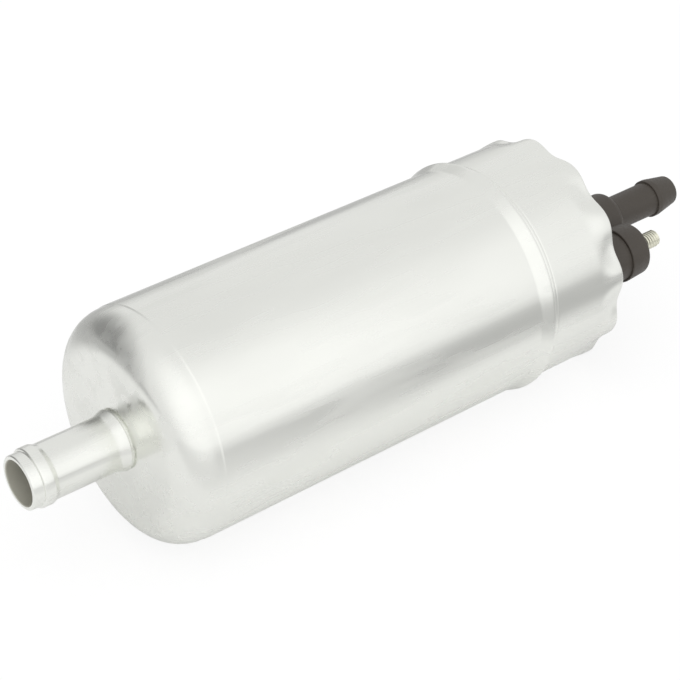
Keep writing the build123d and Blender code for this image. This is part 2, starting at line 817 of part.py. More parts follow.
# End cap: one moulding with the flange, the nozzle's tower, the nozzle and both terminal posts
tower_end = cap_face + tower_length
barb_x = tower_end + nozzle_length
nozzle_end = barb_x + barb_length
chamber_end = cavity_end + valve_chamber_depth
head_x = cap_face + post_neck_length
groove_x = step_x + seal_groove_place
rim_top = cap_face + cap_rim_height
post_head_draft = math.degrees(math.atan2(post_head_taper, post_head_length - post_head_edge))
with BuildPart() as end_cap:
    with BuildSketch(Plane.XY):
        with BuildLine():
            Polyline(
                (tube_rear, skirt_bore),
                (tube_rear, stack_radius),
                (step_x, stack_radius),
                (step_x, cap_radius),
                (groove_x, cap_radius),
                (groove_x, cap_radius - seal_groove_depth),
                (groove_x + seal_groove_width, cap_radius - seal_groove_depth),
                (groove_x + seal_groove_width, cap_radius),
                (rim_top - cap_seat_run, cap_radius),
                (rim_top, cap_radius - cap_seat_drop),
                (rim_top, cap_rim_bore),
                (cap_face, cap_rim_bore),
                (cap_face, tower_radius),
                (tower_end - tower_round, tower_radius),
                (tower_end - tower_round / 4, tower_radius - tower_round / 4),
                (tower_end, tower_radius - tower_round),
                (tower_end, nozzle_radius),
                (barb_x, nozzle_radius),
                (barb_x, barb_radius),
                (barb_x + barb_land, barb_radius),
                (nozzle_end - barb_round, barb_tip_radius + barb_round / 4),
                (nozzle_end, barb_tip_radius - barb_round),
                (nozzle_end, nozzle_bore),
                (chamber_end, nozzle_bore),
                (chamber_end, valve_chamber),
                (cavity_end, valve_chamber),
                (cavity_end, cavity_bore),
                (holder_rear, cavity_bore),
                (holder_rear, skirt_bore),
                (tube_rear, skirt_bore),
            )
        make_face()
    revolve(axis=Axis.X)
    for side in (-1, 1):
        with BuildSketch(Plane.YZ.offset(cap_face)):
            with Locations((side * post_offset, 0)):
                Circle(post_neck_radius)
        extrude(amount=post_neck_length)
        with BuildSketch(Plane.YZ.offset(head_x)):
            with Locations((side * post_offset, 0)):
                Circle(post_head_radius)
        extrude(amount=post_head_length - post_head_edge, taper=post_head_draft)
        with BuildSketch(Plane.YZ.offset(post_face - post_head_edge)):
            with Locations((side * post_offset, 0)):
                Circle(post_head_radius - post_head_taper)
        extrude(amount=post_head_edge, taper=45)
    with BuildSketch(Plane.YZ.offset(cap_face)):
        Rectangle(2 * post_offset, web_thickness)
        Circle(valve_chamber + web_thickness / 2, mode=Mode.SUBTRACT)
    extrude(amount=web_height)
    for side in (-1, 1):
        with BuildSketch(Plane.YZ.offset(cavity_end)):
            with Locations((side * post_offset, 0)):
                Circle(stud_shank_radius + press_gap)
        extrude(amount=post_face - cavity_end, mode=Mode.SUBTRACT)
write(end_cap.part, "end_cap")

# Seal ring: squeezed between the groove and the can
seal_inner = cap_radius - seal_groove_depth + seal_squeeze
seal_outer = rear_bore - seal_squeeze
with BuildPart() as seal_ring:
    with BuildSketch(Plane.XY):
        with Locations((groove_x + seal_groove_width / 2, (seal_inner + seal_outer) / 2)):
            RegularPolygon((seal_outer - seal_inner) / 2, 6)
    revolve(axis=Axis.X)
write(seal_ring.part, "seal_ring")

# Check valve in the tower: seat, poppet with its stem, spring, and the guide that the stem runs in
valve_seat_x = cavity_end + valve_seat_place
valve_seat_end = valve_seat_x + valve_seat_length
poppet_front = valve_seat_end + run_gap
poppet_back = poppet_front + poppet_thickness
guide_x = poppet_back + valve_spring_length
with BuildPart() as check_valve_seat:
    with BuildSketch(Plane.YZ.offset(valve_seat_x)):
        Circle(valve_chamber - press_gap)
        Circle(valve_seat_bore, mode=Mode.SUBTRACT)
    extrude(amount=valve_seat_length)
write(check_valve_seat.part, "check_valve_seat")

with BuildPart() as check_valve_poppet:
    with BuildSketch(Plane.YZ.offset(poppet_front)):
        Circle(poppet_radius)
    extrude(amount=poppet_thickness)
    with BuildSketch(Plane.YZ.offset(poppet_back)):
        Circle(poppet_stem)
    extrude(amount=valve_spring_length + valve_guide_length + poppet_stem)
    rim = check_valve_poppet.edges().filter_by(GeomType.CIRCLE).sort_by(Axis.X)[0]
    chamfer(rim, poppet_thickness / 4)
write(check_valve_poppet.part, "check_valve_poppet")

with BuildPart() as check_valve_guide:
    with BuildSketch(Plane.YZ.offset(guide_x)):
        Circle(valve_chamber - press_gap)
        Circle(poppet_stem + run_gap, mode=Mode.SUBTRACT)
        with PolarLocations((poppet_stem + valve_chamber) / 2, 3):
            Circle(valve_guide_hole, mode=Mode.SUBTRACT)
    extrude(amount=valve_guide_length)
write(check_valve_guide.part, "check_valve_guide")

check_valve_spring = coil_spring(
    (poppet_stem + poppet_radius) / 2,
    valve_wire,
    valve_turns,
    Vector(guide_x, 0, 0),
    Vector(poppet_back + run_gap, 0, 0),
    Vector(-1, 0, 0),
)
write(check_valve_spring, "check_valve_spring")
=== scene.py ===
"""Studio scene of an in-line electric fuel pump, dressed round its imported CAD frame.

Lengths are in metres in the frame's axes: +X towards the outlet nozzle, +Z up, origin on the can's axis.
"""

import json
import math

import bmesh
import bpy
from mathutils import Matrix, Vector


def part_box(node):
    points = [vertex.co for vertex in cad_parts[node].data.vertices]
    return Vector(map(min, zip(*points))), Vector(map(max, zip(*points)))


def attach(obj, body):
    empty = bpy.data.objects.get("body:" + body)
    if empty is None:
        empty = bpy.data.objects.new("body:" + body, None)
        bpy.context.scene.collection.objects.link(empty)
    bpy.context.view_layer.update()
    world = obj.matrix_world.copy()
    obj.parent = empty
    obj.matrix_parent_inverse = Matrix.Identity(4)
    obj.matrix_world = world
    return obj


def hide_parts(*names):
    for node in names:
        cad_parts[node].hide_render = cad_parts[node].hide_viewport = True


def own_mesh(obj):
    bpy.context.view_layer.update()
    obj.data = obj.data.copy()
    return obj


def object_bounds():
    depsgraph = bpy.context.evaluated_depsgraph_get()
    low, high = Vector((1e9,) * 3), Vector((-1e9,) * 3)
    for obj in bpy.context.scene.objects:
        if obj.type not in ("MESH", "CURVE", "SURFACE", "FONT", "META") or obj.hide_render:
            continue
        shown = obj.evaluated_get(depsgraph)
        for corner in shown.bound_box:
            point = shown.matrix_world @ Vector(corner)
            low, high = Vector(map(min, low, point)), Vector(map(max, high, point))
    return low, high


bl_info = {
    "name": "Fuel pump",
    "version": (1, 0, 0),
    "blender": (4, 5, 0),
    "location": "View3D > Sidebar > Fuel pump",
    "description": "Builds the visible pieces, finishes and studio of an in-line fuel pump",
    "category": "Object",
}

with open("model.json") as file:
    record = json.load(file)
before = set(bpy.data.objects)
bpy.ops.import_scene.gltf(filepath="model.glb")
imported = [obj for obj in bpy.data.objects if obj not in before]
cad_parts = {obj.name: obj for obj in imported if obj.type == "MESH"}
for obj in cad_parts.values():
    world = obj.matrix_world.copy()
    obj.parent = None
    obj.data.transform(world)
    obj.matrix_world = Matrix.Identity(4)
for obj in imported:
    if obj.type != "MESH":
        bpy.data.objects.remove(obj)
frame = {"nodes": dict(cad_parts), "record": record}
CAD_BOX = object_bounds()

MM = 0.001
ON_AXIS = 1e-7  # a point nearer than this to the axis is a pole
MOUNTS = {mount["name"]: mount for mount in frame["record"]["mounts"]}

# Stations of the can along its axis
MOUTH_X, RIM_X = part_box("housing_can")[0].x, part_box("housing_can")[1].x
WALL_RADIUS = MOUNTS["clamp_seat"]["dims"]["r_mm"] * MM
SEAT_END = MOUNTS["clamp_seat"]["dims"]["length_mm"] * MM / 2
HOSE_BEAD_RADIUS = MOUNTS["inlet_spigot"]["dims"]["r_mm"] * MM

# Stations of the end cap along its axis
CAP_FRONT, NOZZLE_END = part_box("end_cap")[0].x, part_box("end_cap")[1].x
STEP_X = CAP_FRONT + 8.0 * MM
BARB_RADIUS = MOUNTS["outlet_nozzle"]["dims"]["r_mm"] * MM
POST_Y = MOUNTS["terminal_stud_right"]["pos_m"][1]
STUD_RADIUS = MOUNTS["terminal_stud_right"]["dims"]["r_mm"] * MM
STUD_FRONT, STUD_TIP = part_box("terminal_stud_right")[0].x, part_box("terminal_stud_right")[1].x


def length(name, description, millimetres):
    """A length property with its default in millimetres."""
    return bpy.props.FloatProperty(
        name=name, description=description, default=millimetres * MM, unit="LENGTH", precision=5
    )


def colour(name, description, value):
    """A colour property."""
    return bpy.props.FloatVectorProperty(
        name=name, description=description, default=value, size=3, subtype="COLOR", min=0, max=1
    )


class PumpCanSizes(bpy.types.PropertyGroup):
    """Sizes of the drawn can."""

    shoulder: length("Shoulder", "Radius of the front shoulder", 8.4)
    wall: length("Wall", "Thickness of the wall round the motor", 1.7)
    rear_wall: length("Rear wall", "Thickness of the wall round the end cap", 1.3)
    front_wall: length("Front wall", "Thickness of the front wall", 2.0)
    bead: length("Bead", "Height of the rolled bead", 1.05)
    spigot: length("Spigot", "Radius of the inlet spigot", 6.0)
    spigot_length: length("Spigot length", "Reach of the inlet spigot", 23.0)
    spigot_bore: length("Spigot bore", "Radius of the inlet's bore", 4.9)
    crimps: bpy.props.IntProperty(name="Crimps", description="Dimples round the rim", default=12, min=3)
    crimp_turn: bpy.props.FloatProperty(
        name="First crimp", description="Angle of one crimp from +Y towards +Z",
        default=math.radians(4.3), subtype="ANGLE",
    )
    crimp_length: length("Crimp length", "How far the dimples run back from the rim", 6.5)
    crimp_depth: length("Crimp depth", "How far the rim sinks at a dimple", 0.85)
    crimp_rise: length("Crimp rise", "How far the rim stands out between dimples", 0.4)
    scallop: length("Scallop", "How far the rim's edge draws back at a dimple", 0.3)


class PumpCapSizes(bpy.types.PropertyGroup):
    """Sizes of the moulded end cap."""

    face: length("Face", "Depth of the cap's face behind the can's rim", 5.1)
    rim: length("Rim", "Height of the rim round the face", 1.9)
    tower: length("Tower", "Radius of the nozzle's tower", 6.1)
    nozzle: length("Nozzle", "Radius of the nozzle", 4.05)
    nozzle_bore: length("Nozzle bore", "Radius of the outlet's bore", 2.2)
    post_neck: length("Post neck", "Radius of a terminal post", 5.85)
    post_head: length("Post head", "Radius of a terminal post's head", 6.45)
    web: length("Web", "Thickness of the web between the posts", 2.6)
    web_height: length("Web height", "Height of the web between the posts", 8.0)
    holder_place: length("Holder place", "From the can's inner step to the brush holder's rear", 6.0)
    cavity_depth: length("Cavity depth", "Depth of the cavity behind the brush holder", 6.0)
    post_height: length("Post height", "How far a terminal post stands over the cap's face", 20.8)
    post_head_length: length("Post head length", "Length of a terminal post's head", 5.9)
    tower_height: length("Tower height", "How far the tower stands over the cap's face", 26.1)
    barb_reach: length("Barb reach", "From the tower's end to the nozzle's barb", 12.4)
    barb_land: length("Barb land", "Length of the barb's straight land", 1.3)
    nozzle_tip: length("Nozzle tip", "Radius of the nozzle's tip", 3.45)
    chamber: length("Chamber", "Radius of the check valve's chamber", 4.4)
    chamber_height: length("Chamber height", "From the cap's face to the chamber's end", 21.5)
    cavity: length("Cavity", "Radius of the cavity behind the brush holder", 18.2)
    skirt_inside: length("Skirt inside", "Inner radius of the cap's skirt", 20.0)
    rim_inside: length("Rim inside", "Inner radius of the rim round the face", 20.6)
    groove_width: length("Groove width", "Width of the seal ring's groove", 2.4)
    groove_depth: length("Groove depth", "Depth of the seal ring's groove", 1.7)
    edge_run: length("Edge run", "Length of the slope that the dimples press on", 3.3)
    edge_drop: length("Edge drop", "Height of the slope that the dimples press on", 1.05)


class PumpStudSizes(bpy.types.PropertyGroup):
    """Sizes of the terminal studs' threads."""

    pitch: length("Pitch", "Pitch of the thread", 0.7)
    depth: length("Depth", "Depth of the thread", 0.38)
    pin: length("Pin", "Radius of the pin that the lead is soldered to", 1.2)
    flange: length("Flange", "Radius of the flange that holds in the cap", 4.0)
    flange_length: length("Flange length", "Thickness of the flange", 1.5)
    flange_place: length("Flange place", "From the cap's front to the flange's rear", 20.0)
    shank: length("Shank", "Radius of the shank in the post", 2.6)
    shank_inset: length("Shank inset", "How far inside the post the shank ends", 1.2)


class PumpSpringSizes(bpy.types.PropertyGroup):
    """Sizes of the coil springs."""

    wire: length("Wire", "Radius of the wire", 0.32)
    turns: bpy.props.FloatProperty(name="Turns", description="Turns of each spring", default=5.0)


class PumpColours(bpy.types.PropertyGroup):
    """Colours of the finishes that show."""

    aluminium: colour("Aluminium", "The drawn can", (0.875, 0.883, 0.842))
    # the bore's colour is darker partly as painted shade of the deep hollow, partly a duller finish of its own
    bore: colour("Bore", "The inside of the inlet spigot", (0.45, 0.44, 0.38))
    plastic: colour("Plastic", "The end cap", (0.052, 0.043, 0.034))
    plating: colour("Plating", "The terminal studs", (0.80, 0.79, 0.66))


class PumpStage(bpy.types.PropertyGroup):
    """Floor, light and camera."""

    floor: colour("Floor", "The floor and the backdrop", (0.9, 0.9, 0.9))
    key_power: bpy.props.FloatProperty(
        name="Key light", description="Power of the wide lamp", default=0.6, unit="POWER"
    )
    dome: bpy.props.FloatProperty(
        name="Dome", description="Strength of the even light from all round", default=0.86
    )
    bright_side: bpy.props.FloatProperty(
        name="Bright side", description="Light that the dome's near side adds", default=0.30
    )
    dark_side: bpy.props.FloatProperty(
        name="Dark side", description="Light that the dome's far side lacks", default=0.58
    )
    near_shade: bpy.props.FloatProperty(
        name="Near shade", description="How dark the near floor looks in gloss", default=0.48, max=1
    )
    far_shade: bpy.props.FloatProperty(
        name="Far shade", description="How dark the far floor looks in gloss", default=0.48, max=1
    )


# Meshes


def rounded(corners, steps=6):
    """An outline through corners (x, radius, round), with an arc at each corner that has a round."""
    outline = []
    count = len(corners)
    for index, (x, radius, round_) in enumerate(corners):
        here = Vector((x, radius))
        if not round_:
            outline.append(here)
            continue
        back = (Vector(corners[index - 1][:2]) - here).normalized()
        ahead = (Vector(corners[(index + 1) % count][:2]) - here).normalized()
        half = back.angle(ahead) / 2
        centre = here + (back + ahead).normalized() * round_ / math.sin(half)
        start = here + back * round_ / math.tan(half) - centre
        end = here + ahead * round_ / math.tan(half) - centre
        sweep = start.angle_signed(end)
        parts = max(2, round(steps * abs(sweep) / (math.pi / 2) * (2 if round_ > MM else 1)))
        for part in range(parts + 1):
            angle = -sweep * part / parts
            outline.append(centre + Vector((
                start.x * math.cos(angle) - start.y * math.sin(angle),
                start.x * math.sin(angle) + start.y * math.cos(angle),
            )))
    return outline


def stepped(outline, start, end, step):
    """The closed outline with extra points where it runs straight between two stations."""
    result = []
    for index, here in enumerate(outline):
        ahead = outline[(index + 1) % len(outline)]
        result.append(here)
        low, high = min(here.x, ahead.x), max(here.x, ahead.x)
        if high > start and low < end and high - low > step:
            parts = math.ceil((high - low) / step)
            result += [here.lerp(ahead, part / parts) for part in range(1, parts)]
    return result


def turn(mesh, outline, around, centre=(0.0, 0.0)):
    """Adds a closed outline (x, radius) turned about an axis along X. A point on the axis is a pole."""
    rings = []
    for point in outline:
        if point.y < ON_AXIS:
            rings.append([mesh.verts.new((point.x, *centre))])
            continue
        rings.append([
            mesh.verts.new((
                point.x,
                centre[0] + point.y * math.cos(math.tau * side / around),
                centre[1] + point.y * math.sin(math.tau * side / around),
            ))
            for side in range(around)
        ])
    for index, ring in enumerate(rings):
        other = rings[(index + 1) % len(rings)]
        if len(ring) == 1 and len(other) == 1:
            continue
        for side in range(around):
            after = (side + 1) % around
            if len(ring) == 1:
                mesh.faces.new((ring[0], other[side], other[after]))
            elif len(other) == 1:
                mesh.faces.new((ring[side], ring[after], other[0]))
            else:
                mesh.faces.new((ring[side], ring[after], other[after], other[side]))


def finish_mesh(mesh, name, sharp=32):
    """Makes an object of the mesh with its faces outwards, smooth except at sharp edges."""
    bmesh.ops.recalc_face_normals(mesh, faces=mesh.faces)
    data = bpy.data.meshes.new(name)
    mesh.to_mesh(data)
    mesh.free()
    data.shade_smooth()
    data.set_sharp_from_angle(angle=math.radians(sharp))
    piece = bpy.data.objects.new(name, data)
    bpy.context.scene.collection.objects.link(piece)
    return piece


def place(piece, nodes, material, slot):
    """Gives a finished piece its material, and lets it stand for CAD nodes of the housing."""
    piece.data.materials.clear()
    piece.data.materials.append(material)
    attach(piece, "housing")
    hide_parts(*nodes)


# Node trees


class Tree:
    """Short calls for a node tree."""

    def __init__(self, tree):
        self.tree = tree

    def add(self, kind, inputs=None, **settings):
        """A node with its settings, whose inputs take values or sockets by name or number."""
        node = self.tree.nodes.new(kind)
        for key, value in settings.items():
            setattr(node, key, value)
        for key, value in (inputs or {}).items():
            if isinstance(value, bpy.types.NodeSocket):
                self.tree.links.new(value, node.inputs[key])
            else:
                node.inputs[key].default_value = value
        return node

    def math(self, operation, first, second=0.0, third=None, clamp=False):
        """The result of a Math node."""
        inputs = {0: first, 1: second}
        if third is not None:
            inputs[2] = third
        return self.add("ShaderNodeMath", inputs, operation=operation, use_clamp=clamp).outputs[0]

    def ramp(self, value, low, high, out_low=0.0, out_high=1.0, smooth=True):
        """Maps a range to another, with soft ends."""
        node = self.add(
            "ShaderNodeMapRange",
            {"Value": value, "From Min": low, "From Max": high, "To Min": out_low, "To Max": out_high},
            interpolation_type="SMOOTHSTEP" if smooth else "LINEAR",
        )
        return node.outputs["Result"]


def geometry_tree(name, sizes):
    """A geometry node group with named inputs, and its input and output nodes."""
    group = bpy.data.node_groups.new(name, "GeometryNodeTree")
    face = group.interface
    face.new_socket("Geometry", in_out="INPUT", socket_type="NodeSocketGeometry")
    for label, kind in sizes:
        face.new_socket(label, in_out="INPUT", socket_type="NodeSocket" + kind)
    face.new_socket("Geometry", in_out="OUTPUT", socket_type="NodeSocketGeometry")
    tree = Tree(group)
    return tree, tree.add("NodeGroupInput").outputs, tree.add("NodeGroupOutput")


def close_tree(tree, geometry, material, output):
    """Ends a tree in Realize Instances and Set Material."""
    real = tree.add("GeometryNodeRealizeInstances", {"Geometry": geometry})
    painted = tree.add("GeometryNodeSetMaterial", {"Geometry": real.outputs[0], "Material": material})
    tree.tree.links.new(painted.outputs[0], output.inputs[0])


def apply_tree(piece, tree, values):
    """Runs a tree on a piece with these input values, and keeps the result as its plain mesh."""
    modifier = piece.modifiers.new(tree.tree.name, "NODES")
    modifier.node_group = tree.tree
    for item in tree.tree.interface.items_tree:
        if item.in_out == "INPUT" and item.name in values:
            modifier[item.identifier] = values[item.name]
    bpy.context.view_layer.update()
    evaluated = piece.evaluated_get(bpy.context.evaluated_depsgraph_get())
    data = bpy.data.meshes.new_from_object(evaluated)
    piece.modifiers.remove(modifier)
    piece.data = data


def crimp_tree(material):
    """Sinks dimples into a turned rim, and draws its edge back at each of them."""
    tree, size, output = geometry_tree(
        "Crimped rim",
        [("Crimps", "Int"), ("First crimp", "Float"), ("Start", "Float"), ("Length", "Float"),
         ("Depth", "Float"), ("Rise", "Float"), ("Scallop", "Float")],
    )
    spot = tree.add("ShaderNodeSeparateXYZ", {0: tree.add("GeometryNodeInputPosition").outputs[0]}).outputs
    angle = tree.math("SUBTRACT", tree.math("ARCTAN2", spot["Z"], spot["Y"]), size["First crimp"])
    wave = tree.math("COSINE", tree.math("MULTIPLY", angle, size["Crimps"]))
    valley = tree.math("POWER", tree.math("MULTIPLY_ADD", wave, 0.5, 0.5), 1.1)
    run = tree.math("DIVIDE", tree.math("SUBTRACT", spot["X"], size["Start"]), size["Length"], clamp=True)
    ease = tree.ramp(run, 0.0, 0.8)
    swing = tree.math("MULTIPLY", tree.math("ADD", size["Depth"], size["Rise"]), valley)
    out = tree.math("MULTIPLY", tree.math("SUBTRACT", size["Rise"], swing), ease)
    radius = tree.math("SQRT", tree.math(
        "ADD", tree.math("MULTIPLY", spot["Y"], spot["Y"]), tree.math("MULTIPLY", spot["Z"], spot["Z"])
    ))
    share = tree.math("DIVIDE", out, radius)
    back = tree.math("MULTIPLY", tree.math("MULTIPLY", size["Scallop"], valley), run)
    shift = tree.add("ShaderNodeCombineXYZ", {
        "X": tree.math("MULTIPLY", back, -1.0),
        "Y": tree.math("MULTIPLY", spot["Y"], share),
        "Z": tree.math("MULTIPLY", spot["Z"], share),
    })
    moved = tree.add("GeometryNodeSetPosition", {"Geometry": size["Geometry"], "Offset": shift.outputs[0]})
    close_tree(tree, moved.outputs[0], material, output)
    return tree


def thread_tree(material):
    """Cuts a screw thread into a turned pin that lies along X."""
    tree, size, output = geometry_tree(
        "Screw thread",
        [("Axis Y", "Float"), ("Radius", "Float"), ("Pitch", "Float"), ("Depth", "Float"),
         ("Start", "Float")],
    )
    spot = tree.add("ShaderNodeSeparateXYZ", {0: tree.add("GeometryNodeInputPosition").outputs[0]}).outputs
    across = tree.math("SUBTRACT", spot["Y"], size["Axis Y"])
    angle = tree.math("DIVIDE", tree.math("ARCTAN2", spot["Z"], across), math.tau)
    turns = tree.math("SUBTRACT", tree.math("DIVIDE", spot["X"], size["Pitch"]), angle)
    groove = tree.math("MULTIPLY", tree.math("PINGPONG", turns, 0.5), 2.0)
    enter = tree.ramp(spot["X"], size["Start"], tree.math("ADD", size["Start"], size["Pitch"]))
    radius = tree.math("SQRT", tree.math(
        "ADD", tree.math("MULTIPLY", across, across), tree.math("MULTIPLY", spot["Z"], spot["Z"])
    ))
    crest = tree.ramp(
        radius, tree.math("MULTIPLY", size["Radius"], 0.7), tree.math("MULTIPLY", size["Radius"], 0.95)
    )
    depth = tree.math("MULTIPLY", groove, size["Depth"])
    cut = tree.math("MULTIPLY", depth, tree.math("MULTIPLY", enter, crest))
    share = tree.math("DIVIDE", cut, tree.math("MAXIMUM", radius, 0.1 * MM))
    shift = tree.add("ShaderNodeCombineXYZ", {
        "Y": tree.math("MULTIPLY", tree.math("MULTIPLY", across, share), -1.0),
        "Z": tree.math("MULTIPLY", tree.math("MULTIPLY", spot["Z"], share), -1.0),
    })
    moved = tree.add("GeometryNodeSetPosition", {"Geometry": size["Geometry"], "Offset": shift.outputs[0]})
    close_tree(tree, moved.outputs[0], material, output)
    return tree


def spring_tree(material):
    """Winds a round wire into a coil along X or Y."""
    tree, size, output = geometry_tree(
        "Coil spring",
        [("Turns", "Float"), ("Radius", "Float"), ("Wire", "Float"), ("Height", "Float"),
         ("Centre", "Vector"), ("Turn", "Rotation")],
    )
    coil = tree.add("GeometryNodeCurveSpiral", {
        "Resolution": 24, "Rotations": size["Turns"], "Start Radius": size["Radius"],
        "End Radius": size["Radius"], "Height": size["Height"],
    })
    wire = tree.add("GeometryNodeCurvePrimitiveCircle", {"Resolution": 10, "Radius": size["Wire"]})
    wound = tree.add("GeometryNodeCurveToMesh", {
        "Curve": coil.outputs[0], "Profile Curve": wire.outputs[0], "Fill Caps": True,
    })
    half = tree.math("MULTIPLY", size["Height"], -0.5)
    middle = tree.add("ShaderNodeCombineXYZ", {"Z": half})
    centred = tree.add("GeometryNodeTransform", {
        "Geometry": wound.outputs[0], "Translation": middle.outputs[0],
    })
    placed = tree.add("GeometryNodeTransform", {
        "Geometry": centred.outputs[0], "Translation": size["Centre"], "Rotation": size["Turn"],
    })
    close_tree(tree, placed.outputs[0], material, output)
    return tree


# Materials


def blank_material(name):
    """A material's tree and its shader, with the object's own coordinates."""
    material = bpy.data.materials.new(name)
    material.use_nodes = True
    tree = Tree(material.node_tree)
    shader = material.node_tree.nodes["Principled BSDF"]
    spot = tree.add("ShaderNodeTexCoord").outputs["Object"]
    return material, tree, shader, spot


def grain(tree, spot, scale, detail=3.0, size=400.0):
    """Noise on the object's coordinates, stretched by scale."""
    mapped = tree.add("ShaderNodeMapping", {"Vector": spot, "Scale": scale})
    noise = tree.add("ShaderNodeTexNoise", {"Vector": mapped.outputs[0], "Scale": size, "Detail": detail})
    return noise.outputs["Fac"]


def bumped(tree, shader, height, distance, strength=1.0):
    """Raises the surface by a height pattern."""
    bump = tree.add("ShaderNodeBump", {"Height": height, "Distance": distance, "Strength": strength})
    tree.tree.links.new(bump.outputs[0], shader.inputs["Normal"])


def drawn_aluminium(colours):
    """Satin aluminium with faint draw lines that run over the shoulder, and a duller bore painted darker:
    partly a rougher, yellowish finish of its own, partly painted shade of the deep hollow.
    """
    material, tree, shader, spot = blank_material("drawn_aluminium")
    axes = tree.add("ShaderNodeSeparateXYZ", {0: spot}).outputs
    radius = tree.math("SQRT", tree.math(
        "ADD", tree.math("MULTIPLY", axes["Y"], axes["Y"]), tree.math("MULTIPLY", axes["Z"], axes["Z"])
    ))
    spread = tree.math("DIVIDE", WALL_RADIUS, tree.math("MAXIMUM", radius, 0.1 * MM))
    along = tree.add("ShaderNodeCombineXYZ", {
        "X": tree.math("MULTIPLY", axes["X"], 0.025),
        "Y": tree.math("MULTIPLY", axes["Y"], spread),
        "Z": tree.math("MULTIPLY", axes["Z"], spread),
    }).outputs[0]
    lines = grain(tree, along, (1.0, 1.0, 1.0), detail=1.0, size=700.0)
    cloud = grain(tree, spot, (0.3, 1.0, 1.0), detail=3.0, size=70.0)
    patches = tree.ramp(grain(tree, spot, (0.12, 1.0, 1.0), detail=4.0, size=260.0), 0.42, 0.7)
    inside = tree.ramp(radius, 5.2 * MM, 5.0 * MM)
    shade = tree.add("ShaderNodeMix", {
        "Factor": tree.ramp(cloud, 0.35, 0.7), "A": (*colours.aluminium, 1.0),
        "B": (*(0.955 * part for part in colours.aluminium), 1.0),
    }, data_type="RGBA")
    # painted shade: the bore's darker colour stands partly for the shade in the deep hollow, partly for a
    # duller finish
    tone = tree.add("ShaderNodeMix", {
        "Factor": inside, "A": shade.outputs["Result"], "B": (*colours.bore, 1.0),
    }, data_type="RGBA")
    tree.tree.links.new(tone.outputs["Result"], shader.inputs["Base Color"])
    metallic = tree.math("SUBTRACT", 1.0, tree.math("MULTIPLY", inside, 0.8))
    tree.tree.links.new(metallic, shader.inputs["Metallic"])
    rough = tree.math("ADD", tree.math("MULTIPLY", lines, 0.05), tree.math("MULTIPLY", cloud, 0.08))
    rough = tree.math("ADD", rough, tree.math("MULTIPLY", patches, 0.18))
    rough = tree.math("ADD", rough, tree.math("MULTIPLY", inside, 0.3))
    tree.tree.links.new(tree.math("ADD", rough, 0.14), shader.inputs["Roughness"])
    bumped(tree, shader, tree.math("ADD", tree.math("MULTIPLY", lines, 0.08), cloud), 0.02 * MM)
    return material


def moulded_plastic(colours):
    """Matt dark plastic with a faint moulding grain."""
    material, tree, shader, spot = blank_material("moulded_plastic")
    shader.inputs["Base Color"].default_value = (*colours.plastic, 1.0)
    fine = grain(tree, spot, (1.0, 1.0, 1.0), size=2500.0)
    tree.tree.links.new(tree.ramp(fine, 0.3, 0.7, 0.42, 0.56), shader.inputs["Roughness"])
    bumped(tree, shader, fine, 0.01 * MM)
    return material


def plated_steel(colours):
    """Bright plated steel."""
    material, tree, shader, spot = blank_material("plated_steel")
    shader.inputs["Base Color"].default_value = (*colours.plating, 1.0)
    shader.inputs["Metallic"].default_value = 1.0
    fine = grain(tree, spot, (1.0, 1.0, 1.0), size=1800.0)
    tree.tree.links.new(tree.ramp(fine, 0.3, 0.7, 0.22, 0.36), shader.inputs["Roughness"])
    return material


# Metallic, lowest and highest roughness, grain direction, grain size and depth for each class of finish
INNER_FINISHES = {
    "aluminium": (1.0, 0.25, 0.40, (1.0, 1.0, 1.0), 900.0, 0.02),
    "brushed_steel": (1.0, 0.22, 0.38, (0.1, 1.0, 1.0), 1400.0, 0.01),
    "chrome": (1.0, 0.05, 0.12, (1.0, 1.0, 1.0), 600.0, 0.0),
    "cast_iron": (0.6, 0.45, 0.70, (1.0, 0.2, 0.2), 2200.0, 0.03),
    "brass": (1.0, 0.20, 0.42, (0.3, 1.0, 1.0), 1600.0, 0.02),
    "rubber": (0.0, 0.55, 0.75, (1.0, 1.0, 1.0), 1200.0, 0.02),
    "matte_plastic": (0.0, 0.45, 0.65, (1.0, 1.0, 1.0), 1500.0, 0.02),
}


def inner_material(slot):
    """The finish of a slot of the record, by its class and colour."""
    metallic, low, high, stretch, size, depth = INNER_FINISHES[slot["class"]]
    material, tree, shader, spot = blank_material(slot["slot"])
    red, green, blue = slot["base_color"][:3]
    pattern = grain(tree, spot, stretch, size=size)
    shade = tree.add("ShaderNodeMix", {
        "Factor": pattern,
        "A": (red * 0.85, green * 0.85, blue * 0.85, 1.0),
        "B": (min(1.0, red * 1.12), min(1.0, green * 1.12), min(1.0, blue * 1.12), 1.0),
    }, data_type="RGBA")
    tree.tree.links.new(shade.outputs["Result"], shader.inputs["Base Color"])
    shader.inputs["Metallic"].default_value = metallic
    tree.tree.links.new(tree.ramp(pattern, 0.3, 0.7, low, high), shader.inputs["Roughness"])
    if depth:
        bumped(tree, shader, pattern, depth * MM)
    return material


# Operators


